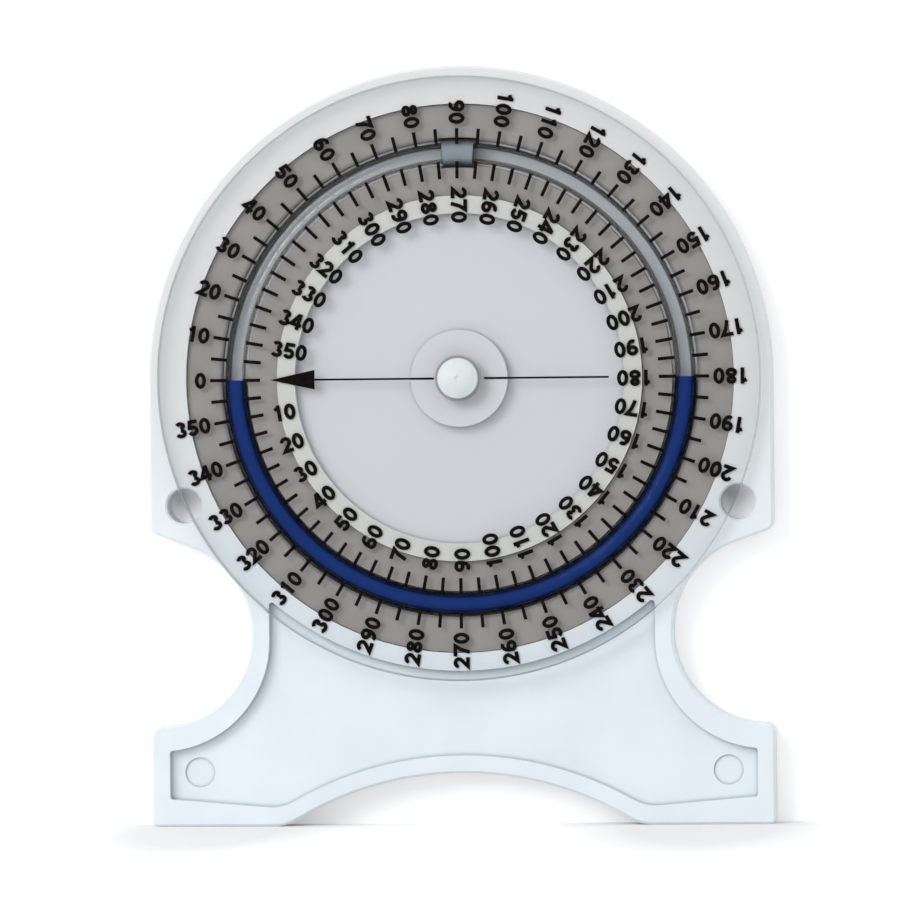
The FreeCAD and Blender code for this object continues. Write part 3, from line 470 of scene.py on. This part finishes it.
def digitShapes():
    # Each digit's strokes run together into one outline. Points are across, up and through the
    # ink, in heights from the middle of the digit's cell
    shapes = {}
    for digit, strokes in digitStrokes().items():
        bars = [inked(stroke) for stroke in strokes]
        for bar in bars[1:]:
            join = bars[0].modifiers.new("join", "BOOLEAN")
            join.operation, join.solver, join.object = "UNION", "EXACT", bar
        bpy.context.view_layer.update()
        mesh = bpy.data.meshes.new_from_object(bars[0].evaluated_get(bpy.context.evaluated_depsgraph_get()))
        points = np.empty(len(mesh.vertices) * 3)
        mesh.vertices.foreach_get("co", points)
        middle = (printing["width"] / 2, 0.5, 0.0)
        shapes[digit] = (points.reshape(-1, 3) - middle, [list(p.vertices) for p in mesh.polygons])
        bpy.data.meshes.remove(mesh)
        for bar in bars:
            bpy.data.meshes.remove(bar.data)  # takes its object with it
    return shapes


def printNumbers(name, shapes, labels, shift=(0, 0)):
    # labels: the text, the dial angle it lies at, and the radius at which its first digit's cell
    # starts. Text runs inwards along the radius, with its top a quarter turn to its left
    points, faces, count = [], [], 0
    front, back = (corner.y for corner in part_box("outer_degree_marks"))
    for text, angle, start in labels:
        outward = np.array([math.cos(angle), math.sin(angle)])
        up = np.array([math.sin(angle), -math.cos(angle)])
        for i, digit in enumerate(text):
            shape, shapeFaces = shapes[digit]
            along = start - (i + 0.5) * printing["pitch"] - shape[:, 0] * printing["height"]
            flat = along[:, None] * outward + (shape[:, 1] * printing["height"])[:, None] * up
            depth = (front + back) / 2 + shape[:, 2] * (back - front)
            x, z = shift[0] + flat[:, 0], axisHeight + shift[1] + flat[:, 1]
            points.append(np.column_stack([x, depth, z]))
            faces += [[v + count for v in face] for face in shapeFaces]
            count += len(shape)
    piece = solid(name, np.concatenate(points), faces)
    piece.data.materials.append(ink)
    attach(piece, "dial")


def makeNumbers():
    shapes = digitShapes()
    values = range(0, 360, printing["every"])
    outer = [(str(v), math.radians(180 - v), printing["outerRadius"] + len(str(v)) * printing["pitch"])
             for v in values]
    inner = [(str(v), math.radians(180 + v), printing["innerRadius"]) for v in values if v]
    printNumbers("outer_numerals", shapes, outer)
    printNumbers("inner_numerals", shapes, inner, printing["innerShift"])


tube = {
    "outside": 2.05 * mm,
    "bore": 1.25 * mm,
    "buttGap": 0.3 * mm,
    "stepsRound": 360,
    "stepsSection": 32,
    "tint": "#fcfdfd",
    "dimming": "#fcfcfc",
    "smear": 7 * mm,
    "roughness": (0.0, 0.03),
    "index": 1.4,  # a soft plastic's, low enough to keep the dark edges narrow
}


def makeTube():
    half = tube["buttGap"] / 2 / tubePitch
    stations = wallBetween(tube["outside"], tube["bore"], math.pi / 2 + half, math.pi * 2.5 - half,
                           tube["stepsRound"])
    piece = ringTube("clear_ring_tube", stations, closed=True)
    # Extruded soft tube bent into a ring: clear, with dark edges where it bends the light most
    piece.data.materials.append(clear("extruded_clear_tube", tube))
    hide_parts("fluid_tube")
    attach(piece, "stand")


sleeve = {
    "wall": 0.3 * mm,
    "length": 5.0 * mm,
    "gap": 0.02 * mm,  # from the tube
    "steps": 24,
    "milky": "#8f99a3",
    # painted shade along the sleeve's sides
    "sides": "#454b50",
    "darkens": (0.9 * mm, 1.9 * mm),  # from the tube's centre line
    "smear": 2 * mm,
    "roughness": (0.25, 0.4),
    "index": 1.53,
}


def shrunkVinyl():
    # Milky vinyl shrunk over the joint: a pale blue-grey film with a soft shine, with painted shade
    # darkening its sides
    material, tree = emptyMaterial("shrunk_milky_vinyl")
    sides = addNode(tree, "ShaderNodeMapRange", [fromCircle(tree, tubePitch), *sleeve["darkens"]])
    smear = addNode(tree, "ShaderNodeMapRange", [grain(tree, sleeve["smear"]), 0, 1, *sleeve["roughness"]])
    shader = addNode(tree, "ShaderNodeBsdfPrincipled", {
        "Base Color": addNode(tree, "ShaderNodeMix", {0: sides, 6: linear(sleeve["milky"]),
                                                      7: linear(sleeve["sides"])}, data_type="RGBA"),
        "Roughness": smear, "IOR": sleeve["index"],
    })
    addNode(tree, "ShaderNodeOutputMaterial", [shader])
    return material


def makeSleeve():
    half = sleeve["length"] / 2 / tubePitch
    stations = wallBetween(tube["outside"] + sleeve["wall"], tube["outside"] + sleeve["gap"],
                           math.pi / 2 - half, math.pi / 2 + half, sleeve["steps"])
    piece = ringTube("joint_sleeve", stations, closed=True)
    piece.data.materials.append(shrunkVinyl())
    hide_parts("tube_joint_sleeve")
    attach(piece, "stand")


fluid = {
    "radius": 1.262 * mm,  # wets the bore
    "meniscus": 0.5 * mm,
    "meniscusSteps": 8,
    "dye": ("#1b3576", "#213c81"),
    "swirl": 6 * mm,  # size of the faint clouds in the dye
    # painted shade along the fluid's sides
    "sides": "#05153a",
    "darkens": (0.72 * mm, 1.06 * mm),  # from the tube's centre line
    "roughness": 0.1,
    "index": 1.36,
    "specular": 0.1,
}


def dyedFluid():
    # Dyed spirit in the bore: a deep royal blue that lets little light through, with painted shade making
    # it nearly black along its sides, for the channel's shade that shows there
    material, tree = emptyMaterial("dyed_blue_spirit")
    sides = addNode(tree, "ShaderNodeMapRange", [fromCircle(tree, tubePitch), *fluid["darkens"]])
    pale, deep = map(linear, fluid["dye"])
    colour = addNode(tree, "ShaderNodeMix", {0: grain(tree, fluid["swirl"]), 6: pale, 7: deep},
                     data_type="RGBA")
    shader = addNode(tree, "ShaderNodeBsdfPrincipled", {
        "Base Color": addNode(tree, "ShaderNodeMix", {0: sides, 6: colour, 7: linear(fluid["sides"])},
                              data_type="RGBA"),
        "Roughness": fluid["roughness"], "IOR": fluid["index"], "Specular IOR Level": fluid["specular"],
    })
    addNode(tree, "ShaderNodeOutputMaterial", [shader])
    return material


def makeFluid():
    # The fluid fills the lower half of the ring. Its ends are menisci: at a share s of the bore
    # radius the surface lies depth times (1 - s squared) below its edge
    radius, steps = fluid["radius"], tube["stepsRound"] // 2
    share = np.linspace(0, 1, fluid["meniscusSteps"])
    dip = fluid["meniscus"] * (1 - share**2) / tubePitch
    section = np.concatenate([share * radius, np.full(steps, radius), share[::-1] * radius])
    places = np.concatenate([math.pi + dip, np.linspace(math.pi, 2 * math.pi, steps),
                             2 * math.pi - dip[::-1]])
    piece = ringTube("blue_fluid", (section, places))
    piece.data.materials.append(dyedFluid())
    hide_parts("indicator_fluid")
    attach(piece, "fluid")


rivet = {
    "edgeRound": 0.35 * mm,
    "edgeTurn": 65,  # degrees from the cap round to the straight side
    "edgeFall": 0.12 * mm,  # the edge ends this far below the straight side's top
    "dimpleRadius": 0.45 * mm,
    "dimpleDepth": 0.25 * mm,
    "headStraight": 0.5 * mm,
    "shank": 1.6 * mm,
    "shankLead": 0.4 * mm,
    "capSteps": 14,
    "edgeSteps": 7,
    "dimpleSteps": 6,
    "steps": 96,
    "cloud": ("#d3d8da", "#dae0e2"),
    "mottle": 3 * mm,
    "pits": 0.3 * mm,
    "relief": 0.01 * mm,
    "roughness": (0.3, 0.42),
    "index": 1.53,
}


def makeRivet():
    # Head profile: a cap of a sphere over a short straight side, with a small cupped dimple
    low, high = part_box("pivot_rivet")
    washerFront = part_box("head_washer")[0].y
    reach, shank, lead = high.x, rivet["shank"], rivet["shankLead"]
    side = washerFront - rivet["headStraight"]
    rise = side - low.y
    bend = (reach**2 + rise**2) / (2 * rise)  # radius of the sphere whose cap has this reach and rise
    out = np.linspace(rivet["dimpleRadius"], reach - rivet["edgeRound"], rivet["capSteps"])
    cap = np.column_stack([out, low.y + bend - np.sqrt(bend**2 - out**2)])
    turn = np.linspace(math.radians(rivet["edgeTurn"]), 0, rivet["edgeSteps"])
    edge = np.column_stack([reach - rivet["edgeRound"] * (1 - np.cos(turn)),
                            side + rivet["edgeFall"] - rivet["edgeRound"] * np.sin(turn)])
    cup = np.linspace(0, 1, rivet["dimpleSteps"])[:-1]
    dimple = np.column_stack([cup * rivet["dimpleRadius"],
                              cap[0, 1] + rivet["dimpleDepth"] * (1 - cup**2)])
    tail = [(reach, washerFront), (shank, washerFront), (shank, high.y - lead), (shank - lead, high.y),
            (0, high.y)]
    piece = turned("rivet_head", np.concatenate([dimple, cap, edge, np.array(tail)]), rivet["steps"])
    # Nylon from a smooth mould: bright white with a soft shine
    piece.data.materials.append(moulded("satin_white_nylon", rivet)[0])
    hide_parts("pivot_rivet")
    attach(piece, "stand")


washer = {
    "play": 0.1 * mm,  # between the shank and its bore
    "boreRound": 0.05 * mm,
    "rimRound": 0.12 * mm,
    "cornerSteps": 4,
    "steps": 96,
    "cloud": ("#8d9092", "#979a9c"),
    "mottle": 3 * mm,
    "pits": 0.3 * mm,
    "relief": 0.01 * mm,
    "roughness": (0.4, 0.5),
    "index": 1.53,
}


def makeHeadWasher():
    low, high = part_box("head_washer")
    bore = rivet["shank"] + washer["play"]
    corners = [(bore, low.y), (high.x, low.y), (high.x, high.y), (bore, high.y)]
    rounds = [washer["boreRound"], washer["rimRound"], washer["rimRound"], washer["boreRound"]]
    outline = roundedOutline(corners, rounds, washer["cornerSteps"])
    piece = turned("washer_under_head", outline, washer["steps"], closed=True)
    # Stamped from grey nylon sheet: a dull even grey
    piece.data.materials.append(moulded("grey_nylon_sheet", washer)[0])
    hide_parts("head_washer")
    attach(piece, "stand")


steel = {
    "shades": ("#b9bcc0", "#d5d7da"),
    "lineGap": 0.4 * mm,
    "lineStretch": (1, 1, 0.05),
    "roughness": (0.25, 0.42),
}


def platedSteel():
    # Zinc-plated spring steel: fine rolling lines and a soft cool shine
    material, tree = emptyMaterial("zinc_plated_steel")
    lines = grain(tree, steel["lineGap"], stretch=steel["lineStretch"])
    dark, bright = map(linear, steel["shades"])
    shader = addNode(tree, "ShaderNodeBsdfPrincipled", {
        "Base Color": addNode(tree, "ShaderNodeMix", {0: lines, 6: dark, 7: bright}, data_type="RGBA"),
        "Metallic": 1.0,
        "Roughness": addNode(tree, "ShaderNodeMapRange", [lines, 0, 1, *steel["roughness"]]),
    })
    addNode(tree, "ShaderNodeOutputMaterial", [shader])
    return material


def dressNode(name, material):
    node = frame["nodes"][name]
    if not node.data.materials:
        node.data.materials.append(material)
    for slot in node.material_slots:
        slot.material = material


paper = {
    "white": "#e9e9ea",
    "fibre": 1.5 * mm,
    "roughness": (0.85, 0.95),
    "specular": 0.2,
    "reach": 0.35,
    "opening": 20 * mm,  # half of the card's hole behind the pivot
    "floorDrop": 0.02 * mm,
    "cardLift": (0.0, 0.34),  # share of white that the card shows by itself, at an ear hole and away: less at a hole paints shade in it
    "cardReach": (0.6 * mm, 4.2 * mm),  # where the one gives way to the other
    "holeTowards": (-1.3 * mm, 0, 1.3 * mm),  # measured from this far towards the key
    "floorLift": (0.1, 0.36),  # likewise for the floor, at a foot and away: less at a foot paints a shadow pool there
    "floorReach": (12 * mm, 25 * mm),
    "floorSqueeze": (1, 0.22, 1),  # a foot's painted shadow runs out this much further to the front
}


def nearest(tree, spots, squeeze):
    # Distance to the nearest of two spots, with each axis squeezed by its own factor
    place = addNode(tree, "ShaderNodeTexCoord")
    squeezed = addNode(tree, "ShaderNodeVectorMath", [place.outputs["Object"], squeeze],
                       operation="MULTIPLY")
    away = [addNode(tree, "ShaderNodeVectorMath", [squeezed, Vector(spot) * Vector(squeeze)],
                    operation="DISTANCE") for spot in spots]
    return addNode(tree, "ShaderNodeMath", away, operation="MINIMUM")


def mountsNamed(word):
    return [Vector(mount["pos_m"]) for mount in frame["record"]["mounts"] if word in mount["name"]]


def whitePaper(name, spots, squeeze, reach, lift, oneSided):
    # Matt white paper. Seen directly or by reflection it is lifted towards white, less near its spots,
    # which paints a pool of shade there on top of the object's own shadow. The upright card is one-sided:
    # it can't be seen from behind and lets light through from there. Reflections look past the floor, which
    # would whiten the tube
    material, tree = emptyMaterial(name)
    path = addNode(tree, "ShaderNodeLightPath")
    seen = path.outputs["Is Camera Ray"]
    for ray in ("Is Glossy Ray", "Is Transmission Ray"):
        seen = addNode(tree, "ShaderNodeMath", [seen, path.outputs[ray]], operation="MAXIMUM")
    share = addNode(tree, "ShaderNodeMapRange", [nearest(tree, spots, squeeze), *reach, *lift])
    glow = addNode(tree, "ShaderNodeMath", [seen, share], operation="MULTIPLY")
    fibre = addNode(tree, "ShaderNodeMapRange", [grain(tree, paper["fibre"]), 0, 1, *paper["roughness"]])
    matt = addNode(tree, "ShaderNodeBsdfPrincipled", {
        "Base Color": linear(paper["white"]), "Roughness": fibre, "Specular IOR Level": paper["specular"]})
    lifted = addNode(tree, "ShaderNodeEmission", [(1, 1, 1, 1), glow])
    surface = addNode(tree, "ShaderNodeAddShader", [matt, lifted])
    hidden = path.outputs["Is Glossy Ray"]
    if oneSided:
        hidden = addNode(tree, "ShaderNodeNewGeometry").outputs["Backfacing"]
    nothing = addNode(tree, "ShaderNodeBsdfTransparent")
    surface = addNode(tree, "ShaderNodeMixShader", [hidden, surface, nothing])
    addNode(tree, "ShaderNodeOutputMaterial", [surface])
    return material


def sheetOfPaper(name, points, faces, material):
    mesh = bpy.data.meshes.new(name)
    mesh.from_pydata(points, [], faces)
    mesh.materials.append(material)
    thing = bpy.data.objects.new(name, mesh)
    bpy.context.scene.collection.objects.link(thing)


def makeFloor():
    # The floor has painted shade at the two soles
    level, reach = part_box("base_plate")[0].z - paper["floorDrop"], paper["reach"]
    corners = [(x * reach, y * reach, level) for x, y in ((-1, -1), (1, -1), (1, 1), (-1, 1))]
    white = whitePaper("white_paper_floor", mountsNamed("sole"), paper["floorSqueeze"],
                       paper["floorReach"], paper["floorLift"], False)
    sheetOfPaper("floor", corners, [(0, 1, 2, 3)], white)


def makeCard():
    # An upright card against the stand's back, open behind the pivot, with painted shade at the ear holes
    reach, opening = paper["reach"], paper["opening"]
    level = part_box("base_plate")[0].z - paper["floorDrop"]
    outside = [(-reach, level), (reach, level), (reach, reach), (-reach, reach)]
    inside = [(x * opening, axisHeight + z * opening) for x, z in ((-1, -1), (1, -1), (1, 1), (-1, 1))]
    corners = [(x, cardDepth, z) for x, z in outside + inside]
    strips = [(i, (i + 1) % 4, (i + 1) % 4 + 4, i + 4) for i in range(4)]
    lit = [hole + Vector(paper["holeTowards"]) for hole in mountsNamed("hole")]
    white = whitePaper("white_paper_card", [(spot.x, cardDepth, spot.z) for spot in lit], (1, 1, 1),
                       paper["cardReach"], paper["cardLift"], True)
    sheetOfPaper("card_behind", corners, strips, white)


studio = {
    "ambient": 0.82,  # what the surroundings give every surface
    "frontDark": 0.03,  # how bright the dark side behind the camera is in reflections
    "frontFades": (-0.3, 0.8),  # where it gives way to white, as the direction's share along y
    "lampSize": 0.48,
    "lampDistance": 1.0,
    "keyWatts": 4.3,
    "keyFrom": (-0.56, -1.0, 0.46),
    "rearWatts": 3.0,
    "rearFrom": (0.7, 1.0, 0.7),
}


def makeWorld():
    # White where it is looked at, dimmer as a light. Reflected or through clear parts it falls off
    # towards the front
    world = bpy.data.worlds.new("soft_white_studio")
    world.use_nodes = True
    tree = world.node_tree
    tree.nodes.clear()
    path = addNode(tree, "ShaderNodeLightPath")
    place = addNode(tree, "ShaderNodeTexCoord")
    parts = addNode(tree, "ShaderNodeSeparateXYZ", [place.outputs["Generated"]])
    front = addNode(tree, "ShaderNodeMapRange", [parts.outputs["Y"], *studio["frontFades"],
                                                 studio["frontDark"], 1.0])
    shine = addNode(tree, "ShaderNodeMath", [path.outputs["Is Glossy Ray"],
                                             path.outputs["Is Transmission Ray"]], operation="MAXIMUM")
    other = addNode(tree, "ShaderNodeMix", {0: shine, 2: studio["ambient"], 3: front}, data_type="FLOAT")
    strength = addNode(tree, "ShaderNodeMath", [path.outputs["Is Camera Ray"], other], operation="MAXIMUM")
    sky = addNode(tree, "ShaderNodeBackground", [(1, 1, 1, 1), strength])
    addNode(tree, "ShaderNodeOutputWorld", [sky])
    bpy.context.scene.world = world


def aimed(thing, target, towards, distance):
    # Puts a lamp or camera at a distance from its target and points it there
    away = Vector(towards).normalized()
    thing.location = Vector(target) + away * distance
    thing.rotation_mode = "QUATERNION"
    thing.rotation_quaternion = (-away).to_track_quat("-Z", "Y")


def makeLamps():
    # A soft key from the upper left, and a weaker lamp for the back that the card keeps from the front
    for name in ("key", "rear"):
        light = bpy.data.lights.new(name, "AREA")
        light.shape, light.size, light.energy = "SQUARE", studio["lampSize"], studio[name + "Watts"]
        lamp = bpy.data.objects.new(name, light)
        bpy.context.scene.collection.objects.link(lamp)
        lamp.visible_glossy = name != "key"  # no white streak along the tube
        aimed(lamp, (0, 0, axisHeight), studio[name + "From"], studio["lampDistance"])


view = {
    "azimuth": 4.5,  # degrees towards the object's right
    "elevation": 0.5,
    "roll": -0.55,
    "aim": (-1.6 * mm, -1.2 * mm, 61.15 * mm),
    "distance": 1.2,
    "lens": 295,
    "sensor": 36,
    "clip": (0.01, 20),
}


def makeCamera():
    lens = bpy.data.cameras.new("camera")
    lens.lens, lens.sensor_width = view["lens"], view["sensor"]
    lens.clip_start, lens.clip_end = view["clip"]
    camera = bpy.data.objects.new("camera", lens)
    bpy.context.scene.collection.objects.link(camera)
    turn, lift = math.radians(view["azimuth"]), math.radians(view["elevation"])
    back = (math.sin(turn) * math.cos(lift), -math.cos(turn) * math.cos(lift), math.sin(lift))
    aimed(camera, view["aim"], back, view["distance"])
    camera.rotation_quaternion @= Quaternion((0, 0, 1), math.radians(view["roll"]))
    bpy.context.scene.camera = camera


bpy.context.scene.view_settings.view_transform = "Standard"
makeCamera()
makeWorld()
makeLamps()
makeFloor()
makeCard()
print("camera, lamps and ground made")

ink = screenInk()
plated = platedSteel()
dressNode("base_plate", mouldedPolystyrene())
dressNode("tube_backing_ring", mouldedGrey())
for name in ("outer_degree_marks", "inner_degree_marks", "zero_arrow"):
    dressNode(name, ink)
for name in ("rear_washer", "spring_washer", "push_nut"):
    dressNode(name, plated)
print("carried-over nodes dressed")

makeTube()
makeSleeve()
makeFluid()
print("tube, sleeve and fluid made")
makeDial()
makeNumbers()
print("dial and numbers made")
makeRivet()
makeHeadWasher()
print("pivot made")
